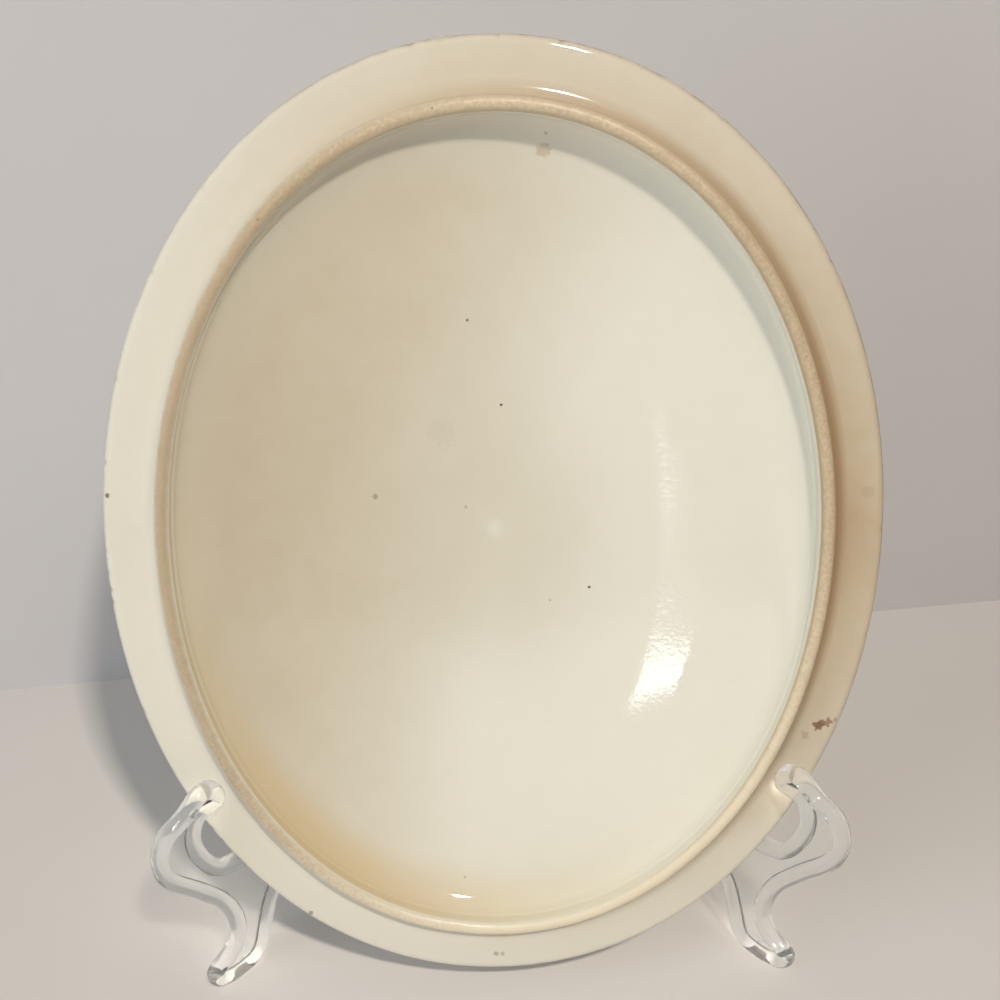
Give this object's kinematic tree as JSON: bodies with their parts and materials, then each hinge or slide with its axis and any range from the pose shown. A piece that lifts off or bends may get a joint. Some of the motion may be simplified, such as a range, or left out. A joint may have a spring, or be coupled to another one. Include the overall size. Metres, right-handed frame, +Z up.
{
  "type": "serving dish cover on plate stand",
  "caption": "Oval domed cream-glazed cover of a serving dish with locating collar and loop handle, shown on end in a clear folding plate stand.",
  "frame": {"origin": "on the table, under the middle of the object's box", "axes": "+Z up, -Y the way the cover's inside faces, +X to the right seen from there"},
  "size_m": [0.2226, 0.1108, 0.2805],
  "materials": {
    "cream_glaze": "glossy lead glaze, slightly stained",
    "bare_clay": "wiped, unglazed, buff",
    "clear_plastic": "clear, polished by the mould"
  },
  "bodies": {
    "stand_left": {"stand_leaf_left": "clear_plastic", "hinge_pin": "clear_plastic", "hinge_pin_cap": "clear_plastic"},
    "stand_right": {"stand_leaf_right": "clear_plastic"},
    "cover": {"cover_shell": "cream_glaze", "locating_collar": "bare_clay", "cover_handle": "cream_glaze", "handle_terminal_upper": "cream_glaze", "handle_terminal_lower": "cream_glaze"}
  },
  "joints": [
    {"name": "leaf_open", "type": "hinge", "parent": "stand_left", "child": "stand_right", "pos_m": [0, 0.05063, 0.045], "axis": [0, 0, 1], "range_deg": [0, 1.2]},
    {"name": "cover_lift", "type": "slide", "parent": "stand_left", "child": "cover", "axis": [0, 0.2588, 0.9659], "range_m": [0, 0.125]}
  ]
}
